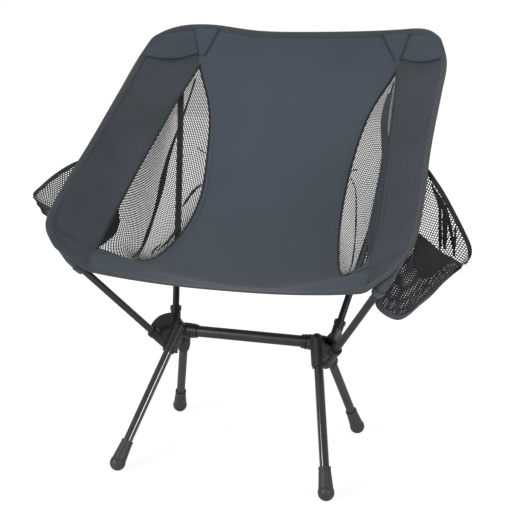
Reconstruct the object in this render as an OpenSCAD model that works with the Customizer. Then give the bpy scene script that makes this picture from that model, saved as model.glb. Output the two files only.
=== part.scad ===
// Ultralight folding-pole camp chair: two moulded hubs on a crossbar, four legs, four seat poles
// and a fabric sling whose corner pockets slip over the tips of the seat poles.
// Millimetres, +Z up, the chair faces -Y, the ground is z = 0 and the chair is symmetric in X.

/* [Crossbar and hubs] */
// Height of the crossbar's axis above the ground
bar_z = 182; // [178:1:186]
// Distance of the crossbar behind the origin (negative is in front of it)
bar_y = -68.3; // [-72:0.1:-64]
// Visible half-length of the crossbar, up to its collars
bar_half = 86; // [84:1:88]
// Outside diameter of the crossbar
bar_d = 18; // [17:0.5:19]
// Depth of every socket in a hub
socket_depth = 45; // [40:1:48]

/* [Legs and feet] */
// Outside diameter of a leg tube
leg_d = 14; // [13:0.5:14.5]
// Half-distance between the front feet
front_foot_x = 162; // [156:1:168]
// Distance of the front feet in front of the crossbar
front_foot_y = 148; // [142:1:154]
// Half-distance between the rear feet
rear_foot_x = 158; // [152:1:164]
// Distance of the rear feet behind the crossbar
rear_foot_y = 93; // [88:1:98]
// Diameter of the ball at the end of a foot
foot_ball_d = 24; // [22:0.5:26]

/* [Seat poles] */
// Outside diameter of a seat pole
pole_d = 11; // [10.5:0.5:11.5]
// Wall thickness of every tube
tube_wall = 1; // [0.8:0.1:1.2]
// Length of a front seat pole outside its socket
front_pole_len = 188; // [184:1:190]
// Length of the straight lower part of a rear pole outside its socket
rear_lower_len = 220; // [215:1:225]
// Length of the bowed upper part of a rear pole
rear_upper_len = 276; // [272:1:280]
// Turn of the bowed upper part, in degrees
rear_bow = 12; // [10:0.5:13]

/* [Sling] */
// Thickness of the sling's fabric with its seams
fabric_t = 1.6; // [1.2:0.1:2]
// Width of the tape that binds the sling's edge
binding_w = 7; // [6:0.5:8]

/* [Hidden] */
$fn = 48;
left = -1;
right = 1;

frame_black = [0.10, 0.10, 0.11];
anodised = [0.16, 0.17, 0.18];
rubber_grey = [0.27, 0.28, 0.29];
steel = [0.6, 0.6, 0.62];
cord_black = [0.05, 0.05, 0.06];
slate = [0.31, 0.33, 0.37];
slate_light = [0.38, 0.40, 0.43];
mesh_black = [0.12, 0.13, 0.14];

slide_clearance = 0.05;
press_clearance = 0.02;

// ---- vectors and placing -------------------------------------------------------------------
function unit(v) = v / norm(v);
function tilted(tilt, turn) = [sin(tilt) * cos(turn), sin(tilt) * sin(turn), cos(tilt)];

module aim(p, d) {
    translate(p)
        rotate([0, acos(d.z), atan2(d.y, d.x)])
            children();
}

// Draws the right-hand part, or its mirror image, in the chair's frame.
module on_side(side) {
    translate([0, bar_y, 0])
        mirror([side == left ? 1 : 0, 0, 0])
            children();
}

module centred() {
    translate([0, bar_y, 0])
        children();
}

// ---- frame geometry, right-hand side, measured from the crossbar's centre line -----------------
foot_r = foot_ball_d / 2;
foot_sink = 0.5;
foot_z = foot_r - foot_sink;
front_foot = [front_foot_x, -front_foot_y, foot_z];
rear_foot = [rear_foot_x, rear_foot_y, foot_z];

front_leg_mouth = [122.2, -37.7, bar_z - 26.1];
rear_leg_mouth = [126.1, 36.8, bar_z - 44];
front_leg_dir = unit(front_leg_mouth - front_foot);
rear_leg_dir = unit(rear_leg_mouth - rear_foot);

front_pole_mouth = [148.5, -37.2, bar_z + 5.7];
rear_pole_mouth = [138.1, 36.9, bar_z + 26.8];
front_pole_dir = unit([0.463, -0.513, 0.724]);
rear_tilt = 35.4;
rear_turn = 71.9;
rear_pole_dir = tilted(rear_tilt, rear_turn);
rear_tip_dir = tilted(rear_tilt - rear_bow, rear_turn);

leg_r = leg_d / 2;
pole_r = pole_d / 2;
bar_r = bar_d / 2;
socket_cap = 3;
leg_socket_r = leg_r + 2.8;
pole_socket_r = pole_r + 2.8;

front_pole_end = front_pole_mouth + front_pole_len * front_pole_dir;
rear_bend_start = rear_pole_mouth + rear_lower_len * rear_pole_dir;
rear_bow_r = rear_upper_len / (rear_bow * PI / 180);
rear_bow_out = rear_bow_r * (cos(rear_tilt - rear_bow) - cos(rear_tilt));
rear_bow_up = rear_bow_r * (sin(rear_tilt) - sin(rear_tilt - rear_bow));
rear_pole_end = rear_bend_start + [rear_bow_out * cos(rear_turn), rear_bow_out * sin(rear_turn), rear_bow_up];
tip_len = 6;

// ---- crossbar, collars, hubs ------------------------------------------------------------------
collar_len = 11;
collar_r = bar_r + 2;
bar_end = bar_half + collar_len + 7;
sleeve_r = bar_r + 3.2;
pin_x = bar_half + collar_len + 3.5;
pin_r = 1.6;

module crossbar() {
    color(frame_black)
        centred()
            translate([-bar_end, 0, bar_z])
                rotate([0, 90, 0])
                    difference() {
                        cylinder(r = bar_r, h = 2 * bar_end);
                        translate([0, 0, -1])
                            cylinder(r = bar_r - tube_wall - 0.3, h = 2 * bar_end + 2);
                        for (end = [bar_end - pin_x, bar_end + pin_x])
                            translate([0, 0, end])
                                rotate([90, 0, 0])
                                    cylinder(r = pin_r + press_clearance, h = 2 * bar_d, center = true);
                    }
}

module crossbar_cord() {
    knot_r = 3.2;
    cord_end = bar_end - 14;
    color(cord_black)
        centred()
            translate([0, 0, bar_z])
                rotate([0, 90, 0])
                    union() {
                        cylinder(r = 1.4, h = 2 * cord_end, center = true);
                        for (end = [-cord_end, cord_end])
                            translate([0, 0, end])
                                sphere(r = knot_r);
                    }
}

module collar(side) {
    lip = 3;
    color(frame_black)
        on_side(side)
            translate([bar_half, 0, bar_z])
                rotate([0, 90, 0])
                    difference() {
                        union() {
                            cylinder(r = collar_r, h = collar_len - press_clearance);
                            translate([0, 0, collar_len / 2])
                                cylinder(r = collar_r + 0.8, h = lip);
                        }
                        translate([0, 0, -1])
                            cylinder(r = bar_r + press_clearance, h = collar_len + 2);
                    }
}

// A round tube with a thicker lip at its mouth, closed at its inner end.
module pole_socket(mouth, d) {
    lip_len = 6;
    aim(mouth - (socket_depth + socket_cap) * d, d) {
        cylinder(r = pole_socket_r, h = socket_depth + socket_cap);
        translate([0, 0, socket_depth + socket_cap - lip_len])
            cylinder(r = pole_socket_r + 1, h = lip_len);
    }
}

// A fluted round tube with a domed inner end.
module leg_socket(mouth, d) {
    flutes = 8;
    flute_r = 1.5;
    aim(mouth - socket_depth * d, d) {
        sphere(r = leg_socket_r);
        cylinder(r = leg_socket_r, h = socket_depth);
        for (i = [0 : flutes - 1])
            rotate([0, 0, 360 * i / flutes])
                translate([leg_socket_r - 0.4, 0, 2])
                    cylinder(r = flute_r, h = socket_depth - 5, $fn = 16);
    }
}

module socket_bore(mouth, d, r) {
    aim(mouth - socket_depth * d, d)
        cylinder(r = r + slide_clearance, h = socket_depth + 20);
}

module rod(p, d, from, to, r) {
    aim(p + from * d, d)
        cylinder(r = r, h = to - from, $fn = 16);
}

// A flat web between two sockets.
module web(mouth_a, dir_a, span_a, mouth_b, dir_b, span_b, r) {
    hull() {
        rod(mouth_a, dir_a, span_a[0], span_a[1], r);
        rod(mouth_b, dir_b, span_b[0], span_b[1], r);
    }
}

// The fan: a disc sector in the plane of the two seat poles, with a round upper edge.
module fan_web() {
    fan_r = 61;
    fan_t = 5;
    across = unit(cross(rear_pole_dir, front_pole_dir));
    up = unit(front_pole_dir + rear_pole_dir);
    side_way = cross(up, across);
    half_angle = acos(front_pole_dir * rear_pole_dir) / 2;
    root = [123.5, -4.8, bar_z - 33.7];
    multmatrix([
        [side_way.x, up.x, across.x, root.x],
        [side_way.y, up.y, across.y, root.y],
        [side_way.z, up.z, across.z, root.z],
        [0, 0, 0, 1]
    ])
        translate([0, 0, -fan_t / 2])
            linear_extrude(fan_t)
                intersection() {
                    circle(r = fan_r, $fn = 96);
                    polygon([
                        [0, -6],
                        [-80 * sin(half_angle), 80 * cos(half_angle)],
                        [80 * sin(half_angle), 80 * cos(half_angle)]
                    ]);
                }
}

module hub(side) {
    inner_face = bar_half + collar_len;
    sleeve_len = 20;
    color(frame_black)
        on_side(side)
            difference() {
                union() {
                    leg_socket(front_leg_mouth, -front_leg_dir);
                    leg_socket(rear_leg_mouth, -rear_leg_dir);
                    pole_socket(front_pole_mouth, front_pole_dir);
                    pole_socket(rear_pole_mouth, rear_pole_dir);
                    translate([inner_face, 0, bar_z])
                        rotate([0, 90, 0])
                            cylinder(r = sleeve_r, h = sleeve_len);
                    web(front_leg_mouth, -front_leg_dir, [-46, -14],
                        rear_leg_mouth, -rear_leg_dir, [-46, -14], 3);
                    web(front_leg_mouth, -front_leg_dir, [-46, -3],
                        front_pole_mouth, front_pole_dir, [-46, -6], 2.6);
                    web(rear_leg_mouth, -rear_leg_dir, [-46, -8],
                        rear_pole_mouth, rear_pole_dir, [-46, -10], 2.6);
                    fan_web();
                }
                socket_bore(front_leg_mouth, -front_leg_dir, leg_r);
                socket_bore(rear_leg_mouth, -rear_leg_dir, leg_r);
                socket_bore(front_pole_mouth, front_pole_dir, pole_r);
                socket_bore(rear_pole_mouth, rear_pole_dir, pole_r);
                translate([inner_face - 1, 0, bar_z])
                    rotate([0, 90, 0])
                        cylinder(r = bar_r + press_clearance, h = bar_end - inner_face + 1 + press_clearance);
                translate([pin_x, 0, bar_z])
                    rotate([90, 0, 0])
                        cylinder(r = pin_r + press_clearance, h = 2 * bar_d, center = true);
            }
}

module hub_pins() {
    pin_len = 2 * sleeve_r - 1.5;
    color(steel)
        for (side = [left, right])
            on_side(side)
                translate([pin_x, 0, bar_z])
                    rotate([90, 0, 0])
                        cylinder(r = pin_r, h = pin_len, center = true);
}

// ---- legs, feet and their cords ----------------------------------------------------------------
foot_overlap = 28;
plug_gap = 8;

function leg_length(foot, mouth) = norm(mouth - foot) + socket_depth - 0.5 - plug_gap;

module leg(side, foot, mouth, d) {
    color(frame_black)
        on_side(side)
            aim(foot + plug_gap * d, d)
                difference() {
                    cylinder(r = leg_r, h = leg_length(foot, mouth));
                    translate([0, 0, -1])
                        cylinder(r = leg_r - tube_wall, h = leg_length(foot, mouth) + 2);
                }
}

module foot(side, foot, d) {
    collar_top = plug_gap + foot_overlap;
    color(rubber_grey)
        on_side(side)
            difference() {
                union() {
                    translate(foot)
                        sphere(r = foot_r);
                    aim(foot, d) {
                        cylinder(r1 = foot_r - 0.8, r2 = leg_r + 1.6, h = collar_top);
                        translate([0, 0, collar_top - 3])
                            cylinder(r = leg_r + 2.2, h = 3);
                    }
                }
                aim(foot + (plug_gap - press_clearance) * d, d)
                    cylinder(r = leg_r + press_clearance, h = collar_top);
                translate([0, 0, -50])
                    translate([foot.x, foot.y, 0])
                        cube(100, center = true);
            }
}

module leg_cord(side, foot, mouth, d) {
    cord_len = leg_length(foot, mouth) - 8;
    color(cord_black)
        on_side(side)
            aim(foot + (plug_gap + 4) * d, d)
                union() {
                    cylinder(r = 1.25, h = cord_len);
                    sphere(r = 3.2);
                    translate([0, 0, cord_len])
                        sphere(r = 2.6);
                }
}

// ---- seat poles ----------------------------------------------------------------------------------
socket_gap = 0.5;

module front_pole(side) {
    whole = front_pole_len + socket_depth - socket_gap - tip_len;
    color(anodised)
        on_side(side)
            aim(front_pole_mouth - (socket_depth - socket_gap) * front_pole_dir, front_pole_dir)
                difference() {
                    cylinder(r = pole_r, h = whole);
                    translate([0, 0, -1])
                        cylinder(r = pole_r - tube_wall, h = whole + 2);
                }
}

// A plug with a domed head closes the end of a pole.
module tip_plug(p, d, play = press_clearance) {
    stem = 12;
    aim(p - tip_len * d, d)
        union() {
            translate([0, 0, -stem])
                cylinder(r = pole_r - tube_wall - play, h = stem + 0.5);
            translate([0, 0, play])
                cylinder(r = pole_r, h = tip_len - 3);
            intersection() {
                translate([0, 0, tip_len - pole_r - 0.5])
                    sphere(r = pole_r + 0.5);
                translate([0, 0, play])
                    cylinder(r = pole_r, h = tip_len);
            }
        }
}

module front_pole_tip(side) {
    color(cord_black)
        on_side(side)
            tip_plug(front_pole_end, front_pole_dir);
}

module front_pole_cord(side) {
    cord_len = front_pole_len - 8;
    color(cord_black)
        on_side(side)
            aim(front_pole_mouth - (socket_depth - 8) * front_pole_dir, front_pole_dir)
                union() {
                    cylinder(r = 1.25, h = cord_len);
                    sphere(r = 2.6);
                    translate([0, 0, cord_len])
                        sphere(r = 2.6);
                }
}

module rear_pole_lower(side) {
    whole = rear_lower_len + socket_depth - socket_gap;
    color(anodised)
        on_side(side)
            aim(rear_pole_mouth - (socket_depth - socket_gap) * rear_pole_dir, rear_pole_dir)
                difference() {
                    cylinder(r = pole_r, h = whole - press_clearance);
                    translate([0, 0, -1])
                        cylinder(r = pole_r - tube_wall, h = whole + 2);
                }
}

// Places a child drawn in the plane of the bow, with the bow's centre at the origin.
module at_bow() {
    translate(rear_bend_start)
        rotate([0, 0, rear_turn])
            translate([-rear_bow_r * cos(rear_tilt), 0, rear_bow_r * sin(rear_tilt)])
                rotate([90, 0, 0])
                    rotate([0, 0, -rear_tilt])
                        children();
}

function bow_angle(len) = len / rear_bow_r * 180 / PI;

module rear_pole_upper(side) {
    color(anodised)
        on_side(side)
            at_bow()
                rotate_extrude(angle = bow_angle(rear_upper_len - tip_len), $fn = 96)
                    translate([rear_bow_r, 0])
                        difference() {
                            circle(r = pole_r);
                            circle(r = pole_r - tube_wall);
                        }
}

// Joining sleeve inside the two parts of a rear pole.
module rear_pole_ferrule(side) {
    ferrule_len = 40;
    upper_part = 10;
    color(steel)
        on_side(side)
            aim(rear_bend_start - ferrule_len * rear_pole_dir, rear_pole_dir)
                difference() {
                    cylinder(r = pole_r - tube_wall - 0.1, h = ferrule_len + upper_part);
                    translate([0, 0, -1])
                        cylinder(r = pole_r - 2 * tube_wall, h = ferrule_len + upper_part + 2);
                }
}

// The plug is straight and the pole is bent, so it needs a little more play.
module rear_pole_tip(side) {
    color(cord_black)
        on_side(side)
            tip_plug(rear_pole_end, rear_tip_dir, 0.2);
}

module rear_pole_cord(side) {
    lower_len = rear_lower_len + socket_depth - 10;
    color(cord_black)
        on_side(side)
            union() {
                aim(rear_bend_start - lower_len * rear_pole_dir, rear_pole_dir) {
                    cylinder(r = 1.25, h = lower_len - 0.8);
                    sphere(r = 2.6);
                    translate([0, 0, lower_len])
                        sphere(r = 2.2);
                }
                at_bow()
                    rotate_extrude(angle = bow_angle(rear_upper_len - 24), $fn = 96)
                        translate([rear_bow_r, 0])
                            circle(r = 1.25);
            }
}

// ---- sling ---------------------------------------------------------------------------------------
// The sling is lofted from stations that run from the front edge up to the top edge. A station has a
// point on the centre line, one where the centre panel ends, one where the side panel starts and one
// on the outer edge. Between the last two seams of the leaf-shaped mesh lie the mesh panels.
centre_line = [
    [0, -112, 286], [0, -72, 279], [0, -33, 278], [0, 43, 310], [0, 120, 367],
    [0, 174, 442], [0, 230, 513], [0, 274, 586], [0, 288, 648]
];
centre_edge = [
    [206, -133, 303], [207, -103, 330], [154, -38, 300], [130, 41, 324], [120, 112, 375],
    [125, 166, 447], [141, 220, 518], [176, 267, 585], [199, 290, 654]
];
leaf_outer = [
    [207, -103, 330], [206, -30, 381], [201, 41, 434], [195, 114, 486], [189, 187, 537], [176, 267, 585]
];
leaf_inner = [for (i = [2 : 7]) centre_edge[i]];
outer_edge = [
    [271, -134, 375], [273, -67, 423], [269, 5, 473], [268, 63, 512], [268, 129, 555], [265, 195, 600]
];
front_corner = [247, -153, 339];
top_corner = [251, 228, 635];
leaf_depth = 38;

function spline(p, t) =
    let (
        n = len(p) - 1,
        k = min(floor(t * n), n - 1),
        f = t * n - k,
        a = k > 0 ? p[k - 1] : 2 * p[k] - p[k + 1],
        b = p[k],
        c = p[k + 1],
        d = k + 2 <= n ? p[k + 2] : 2 * p[k + 1] - p[k]
    )
    0.5 * (2 * b + (c - a) * f + (2 * a - 5 * b + 4 * c - d) * f * f + (3 * b - a - 3 * c + d) * f * f * f);

function mix(a, b, t) = a + (b - a) * t;

// Surfaces over u (across, 0 to 1) and v (front to top, 0 to 1).
function centre_at(u, v) =
    let (
        c = spline(centre_line, v),
        e = spline(centre_edge, v),
        s = abs(u)
    )
    [u * e.x, mix(c.y, e.y, pow(s, 2.4)), mix(c.z, e.z, pow(s, 2.4))];

function side_at(u, v) = mix(spline(leaf_outer, v), spline(outer_edge, v), u);

function leaf_at(u, v) =
    mix(spline(leaf_inner, v), spline(leaf_outer, v), u)
    + leaf_depth * sin(180 * v) * sin(180 * u) * unit([0.35, 0.75, -0.66]);

function sling_at(kind, u, v) =
    kind == "centre" ? centre_at(u, v) : kind == "side" ? side_at(u, v) : leaf_at(u, v);

function sling_normal(kind, u, v) =
    let (
        h = 0.01,
        along_u = sling_at(kind, min(u + h, 1), v) - sling_at(kind, max(u - h, -1), v),
        along_v = sling_at(kind, u, min(v + h, 1)) - sling_at(kind, u, max(v - h, 0))
    )
    unit(cross(along_u, along_v));

// A closed thin solid over a stretch of one surface.
module sheet(kind, u0, u1, v0, v1, nu, nv) {
    grid = [for (j = [0 : nv], i = [0 : nu]) [mix(u0, u1, i / nu), mix(v0, v1, j / nv)]];
    count = len(grid);
    upper = [for (g = grid) sling_at(kind, g[0], g[1]) + fabric_t / 2 * sling_normal(kind, g[0], g[1])];
    lower = [for (g = grid) sling_at(kind, g[0], g[1]) - fabric_t / 2 * sling_normal(kind, g[0], g[1])];
    row = nu + 1;
    cells = [for (j = [0 : nv - 1], i = [0 : nu - 1]) j * row + i];
    rim = concat(
        [for (i = [0 : nu - 1]) [i, i + 1]],
        [for (j = [0 : nv - 1]) [j * row + nu, (j + 1) * row + nu]],
        [for (i = [nu : -1 : 1]) [nv * row + i, nv * row + i - 1]],
        [for (j = [nv : -1 : 1]) [j * row, (j - 1) * row]]
    );
    polyhedron(
        points = concat(upper, lower),
        faces = concat(
            [for (c = cells) [c, c + row + 1, c + 1]],
            [for (c = cells) [c, c + row, c + row + 1]],
            [for (c = cells) [count + c, count + c + 1, count + c + row + 1]],
            [for (c = cells) [count + c, count + c + row + 1, count + c + row]],
            [for (e = rim) [e[0], e[1], count + e[1]]],
            [for (e = rim) [e[0], count + e[1], count + e[0]]]
        )
    );
}

// Shares of a surface that the seams and the binding take.
seam = 0.012;
edge_inset_v = 0.026;
edge_inset_u = 0.11;

module seat_panel() {
    color(slate)
        centred()
            sheet("centre", -1 + seam, 1 - seam, edge_inset_v, 1 - edge_inset_v, 16, 22);
}

module side_panel(side) {
    color(slate)
        on_side(side)
            sheet("side", seam, 1 - edge_inset_u, 0.02, 0.98, 4, 16);
}

module mesh_panel(side) {
    color(mesh_black)
        on_side(side)
            sheet("leaf", 0.02, 0.98, 0.02, 0.94, 8, 16);
}

// ---- binding ---------------------------------------------------------------------------------------
binding_t = 3.6;

// A closed bar swept along a list of points, with a flat oval section that lies in the fabric.
module swept_tape(points, outward, half_w, half_t) {
    n = len(points);
    section = [for (a = [0 : 45 : 315]) [cos(a) * half_w, sin(a) * half_t]];
    m = len(section);
    ring = [
        for (i = [0 : n - 1])
            let (
                along = unit(points[min(i + 1, n - 1)] - points[max(i - 1, 0)]),
                up = unit(cross(along, outward[i])),
                out = cross(up, along)
            )
            for (s = section) points[i] + s[0] * out + s[1] * up
    ];
    polyhedron(
        points = ring,
        faces = concat(
            [[for (k = [m - 1 : -1 : 0]) k]],
            [[for (k = [0 : m - 1]) (n - 1) * m + k]],
            [
                for (i = [0 : n - 2], k = [0 : m - 1])
                    [i * m + k, i * m + (k + 1) % m, (i + 1) * m + (k + 1) % m]
            ],
            [for (i = [0 : n - 2], k = [0 : m - 1]) [i * m + k, (i + 1) * m + (k + 1) % m, (i + 1) * m + k]]
        )
    );
}

// Unit vector that points out of the sling at a point on its front or top edge.
function edge_out(u, v) = unit(centre_at(u, v) - centre_at(u, v > 0.5 ? v - 0.02 : v + 0.02));

module binding_across(v) {
    us = [for (i = [-12 : 12]) 0.97 * i / 12];
    swept_tape(
        [for (u = us) centre_at(u, v) - binding_w / 2 * edge_out(u, v)],
        [for (u = us) edge_out(u, v)],
        binding_w / 2, binding_t / 2
    );
}

module binding_side() {
    vs = [for (i = [0 : 14]) mix(0.03, 0.97, i / 14)];
    outs = [for (v = vs) unit(spline(outer_edge, v) - spline(leaf_outer, v))];
    swept_tape(
        [for (i = [0 : 14]) spline(outer_edge, vs[i]) - binding_w / 2 * outs[i]],
        outs,
        binding_w / 2, binding_t / 2
    );
}

module edge_binding() {
    color(slate_light) {
        centred() {
            binding_across(0);
            binding_across(1);
        }
        for (side = [left, right])
            on_side(side)
                binding_side();
    }
}

// ---- corner pockets ----------------------------------------------------------------------------
pocket_depth = 30;
pocket_wall = 1.5;
front_pocket_bore = pole_r + 1;
rear_pocket_bore = pole_r + 3;

// A closed wedge over the corner of the sling with a round blind pocket for the pole's tip.
module corner_pocket(tip, d, bore_r, corners, corner_r) {
    difference() {
        hull() {
            aim(tip - pocket_depth * d, d)
                cylinder(r = bore_r + pocket_wall, h = pocket_depth + 2, $fn = 32);
            for (c = corners)
                translate(c)
                    sphere(r = corner_r, $fn = 16);
        }
        aim(tip - (pocket_depth + 60) * d, d)
            cylinder(r = bore_r, h = pocket_depth + 60.6);
    }
}

module corner_pocket_front(side) {
    color(slate)
        on_side(side)
            corner_pocket(front_pole_end, front_pole_dir, front_pocket_bore,
                [front_corner + [0, -1, 3], [215, -137, 312], [266, -141, 366]], 2);
}

module corner_pocket_rear(side) {
    color(slate)
        on_side(side)
            corner_pocket(rear_pole_end, rear_tip_dir, rear_pocket_bore,
                [top_corner, [208, 288, 648], [264, 203, 610], [209, 262, 612]], 2);
}

// ---- side pockets ---------------------------------------------------------------------------------
// Each bag hangs from a rim with three corners: one high on the side edge, one that stands out and
// one low on the side edge. The right bag hangs open and low, the left one is held up and folded.
rim_right = [[281, -17, 459], [339, -58, 346], [276, -90, 384]];
rim_left = [[281, -17, 457], [339, -52, 399], [276, -90, 384]];
bag_right = [
    [312, -66, 316, 3], [264, -76, 270, 5], [246, -80, 262, 6], [222, -91, 276, 4], [260, -98, 346, 2]
];
bag_left = [[310, -68, 378, 3], [262, -72, 334, 6], [246, -84, 330, 4], [258, -98, 348, 2]];
rim_r = 2;
knot_extra = 0.6;
bag_drop = 9;
mouth_r = 2.5;

function centre_of(p) = (p[0] + p[1] + p[2]) / 3;

module rounded_body(points) {
    hull()
        for (p = points)
            translate([p[0], p[1], p[2]])
                sphere(r = p[3], $fn = 16);
}

function below_rim(rim, drop, r) = [for (p = rim) [p.x, p.y, p.z - drop, r]];

// The inside of the bag, drawn in from its walls and open at the top.
function bag_inside(rim, bag) =
    let (c = centre_of(rim))
    concat(
        [for (p = rim) let (q = mix(p, c, 0.22)) [q.x, q.y, q.z + 6, mouth_r]],
        [for (b = [for (i = [0 : len(bag) - 2]) bag[i]])
            let (q = mix([b[0], b[1], b[2]], c, 0.3)) [q.x, q.y, q.z, 1.5]]
    );

module side_pocket(side) {
    rim = side == left ? rim_left : rim_right;
    bag = side == left ? bag_left : bag_right;
    color(mesh_black)
        on_side(side)
            difference() {
                rounded_body(concat(below_rim(rim, bag_drop, 1.5), bag));
                rounded_body(bag_inside(rim, bag));
            }
}

// The cord in a bag's rim, with a thicker knot at each end and at its outer corner.
module pocket_rim(side) {
    rim = side == left ? rim_left : rim_right;
    color(cord_black)
        on_side(side)
            union() {
                for (i = [0, 1])
                    aim(rim[i], unit(rim[i + 1] - rim[i]))
                        cylinder(r = rim_r, h = norm(rim[i + 1] - rim[i]));
                for (p = rim)
                    translate(p)
                        sphere(r = rim_r + knot_extra);
            }
}

crossbar();
crossbar_cord();
collar(left);  // collar_left
collar(right);  // collar_right
hub(left);  // hub_left
hub(right);  // hub_right
hub_pins();
leg(left, front_foot, front_leg_mouth, front_leg_dir);  // leg_front_left
leg(right, front_foot, front_leg_mouth, front_leg_dir);  // leg_front_right
leg(left, rear_foot, rear_leg_mouth, rear_leg_dir);  // leg_rear_left
leg(right, rear_foot, rear_leg_mouth, rear_leg_dir);  // leg_rear_right
foot(left, front_foot, front_leg_dir);  // foot_front_left
foot(right, front_foot, front_leg_dir);  // foot_front_right
foot(left, rear_foot, rear_leg_dir);  // foot_rear_left
foot(right, rear_foot, rear_leg_dir);  // foot_rear_right
leg_cord(left, front_foot, front_leg_mouth, front_leg_dir);  // leg_cord_front_left
leg_cord(right, front_foot, front_leg_mouth, front_leg_dir);  // leg_cord_front_right
leg_cord(left, rear_foot, rear_leg_mouth, rear_leg_dir);  // leg_cord_rear_left
leg_cord(right, rear_foot, rear_leg_mouth, rear_leg_dir);  // leg_cord_rear_right
front_pole(left);  // front_pole_left
front_pole(right);  // front_pole_right
front_pole_tip(left);  // front_pole_tip_left
front_pole_tip(right);  // front_pole_tip_right
front_pole_cord(left);  // front_pole_cord_left
front_pole_cord(right);  // front_pole_cord_right
rear_pole_lower(left);  // rear_pole_lower_left
rear_pole_lower(right);  // rear_pole_lower_right
rear_pole_upper(left);  // rear_pole_upper_left
rear_pole_upper(right);  // rear_pole_upper_right
rear_pole_ferrule(left);  // rear_pole_ferrule_left
rear_pole_ferrule(right);  // rear_pole_ferrule_right
rear_pole_tip(left);  // rear_pole_tip_left
rear_pole_tip(right);  // rear_pole_tip_right
rear_pole_cord(left);  // rear_pole_cord_left
rear_pole_cord(right);  // rear_pole_cord_right
seat_panel();
side_panel(left);  // side_panel_left
side_panel(right);  // side_panel_right
mesh_panel(left);  // mesh_panel_left
mesh_panel(right);  // mesh_panel_right
edge_binding();
corner_pocket_front(left);  // corner_pocket_front_left
corner_pocket_front(right);  // corner_pocket_front_right
corner_pocket_rear(left);  // corner_pocket_rear_left
corner_pocket_rear(right);  // corner_pocket_rear_right
side_pocket(left);  // side_pocket_left
side_pocket(right);  // side_pocket_right
pocket_rim(left);  // pocket_rim_left
pocket_rim(right);  // pocket_rim_right
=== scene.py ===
import math

import bmesh
import bpy
import numpy as np
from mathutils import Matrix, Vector
from mathutils.bvhtree import BVHTree


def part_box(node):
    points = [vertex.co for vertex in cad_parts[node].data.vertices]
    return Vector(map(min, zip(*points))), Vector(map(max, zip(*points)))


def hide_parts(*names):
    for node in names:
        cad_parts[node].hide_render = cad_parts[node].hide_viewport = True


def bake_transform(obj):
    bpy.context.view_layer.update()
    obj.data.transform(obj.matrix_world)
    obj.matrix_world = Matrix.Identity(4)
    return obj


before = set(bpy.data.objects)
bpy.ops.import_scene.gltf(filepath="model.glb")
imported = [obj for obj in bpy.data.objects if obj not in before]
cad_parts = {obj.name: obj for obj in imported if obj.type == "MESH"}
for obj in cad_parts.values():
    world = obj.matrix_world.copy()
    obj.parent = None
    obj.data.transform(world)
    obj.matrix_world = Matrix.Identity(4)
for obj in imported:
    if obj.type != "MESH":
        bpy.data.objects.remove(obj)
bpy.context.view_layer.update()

# Lengths are millimetres in the chair's own frame until make_object() turns them into metres:
# x to the right, y behind the crossbar, z above the ground. Everything is drawn for the right-hand
# side, and mirrored for the left.
MM = 0.001
bar_low, bar_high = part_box("crossbar")
BAR_Y = (bar_low.y + bar_high.y) / 2 / MM
SIDES = {"left": -1, "right": 1}
ENDS = ("front", "rear")


# ---- vectors, curves and surfaces ----
def unit(v):
    v = np.asarray(v, float)
    return v / np.maximum(np.linalg.norm(v, axis=-1, keepdims=True), 1e-9)


def mix(a, b, t):
    t = np.asarray(t, float)
    if t.ndim:
        t = t[..., None]
    return np.asarray(a, float) * (1 - t) + np.asarray(b, float) * t


def both(u, v):
    """u and v as arrays of one shape."""
    return np.broadcast_arrays(np.asarray(u, float), np.asarray(v, float))


def arch(t, power=1):
    """1 in the middle of 0..1 and 0 at both ends."""
    return np.sin(np.pi * np.clip(t, 0, 1)) ** power


def spline(stations, t):
    """Smooth curve through evenly spaced stations, t from 0 to 1."""
    p = np.asarray(stations, float)
    p = np.vstack([2 * p[0] - p[1], p, 2 * p[-1] - p[-2]])
    n = len(p) - 3
    x = np.clip(np.asarray(t, float), 0, 1) * n
    k = np.minimum(x.astype(int), n - 1)
    f = (x - k)[..., None]
    a, b, c, d = p[k], p[k + 1], p[k + 2], p[k + 3]
    cubic = 2 * b + (c - a) * f + (2 * a - 5 * b + 4 * c - d) * f**2 + (3 * b - a - 3 * c + d) * f**3
    return cubic / 2


def smooth_step(x, low, high):
    t = np.clip((np.asarray(x, float) - low) / (high - low), 0, 1)
    return t * t * (3 - 2 * t)


# Stations from the front edge to the top edge of the sling. They are evenly spaced, so a v of 2 / 8 is
# the third of nine. The leaf runs from 2 / 8 to 7 / 8 of the centre panel's seam, and from 1 / 7 to
# 6 / 7 of the side strip.
CENTRE_LINE = [
    (0, -112, 286), (0, -72, 279), (0, -33, 278), (0, 43, 310), (0, 120, 367),
    (0, 174, 442), (0, 230, 513), (0, 274, 586), (0, 288, 648),
]
CENTRE_EDGE = [
    (206, -133, 303), (207, -103, 330), (154, -38, 300), (130, 41, 324), (120, 112, 375),
    (125, 166, 447), (141, 220, 518), (178, 270, 590), (199, 290, 654),
]
LEAF_OUTER = [
    (207, -103, 330), (206, -30, 381), (201, 41, 434), (195, 114, 486), (189, 187, 537), (178, 270, 590),
]
LEAF_VALLEY = [
    (172, -60, 305), (183, 10, 311), (184, 75, 368), (183, 128, 443), (175, 190, 519), (178, 270, 590),
]
OUTER_EDGE = [
    (249, -153, 342), (271, -134, 375), (273, -67, 423), (269, 5, 473),
    (268, 63, 512), (268, 129, 555), (267, 195, 600), (252, 230, 638),
]
# Where the front half of every sling piece ends and the rear half begins.
CENTRE_SPLIT = 5 / 8
LEAF_SPLIT = 3 / 5
STRIP_SPLIT = 4 / 7


def centre_edge(v):
    return spline(CENTRE_EDGE, v)


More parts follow.
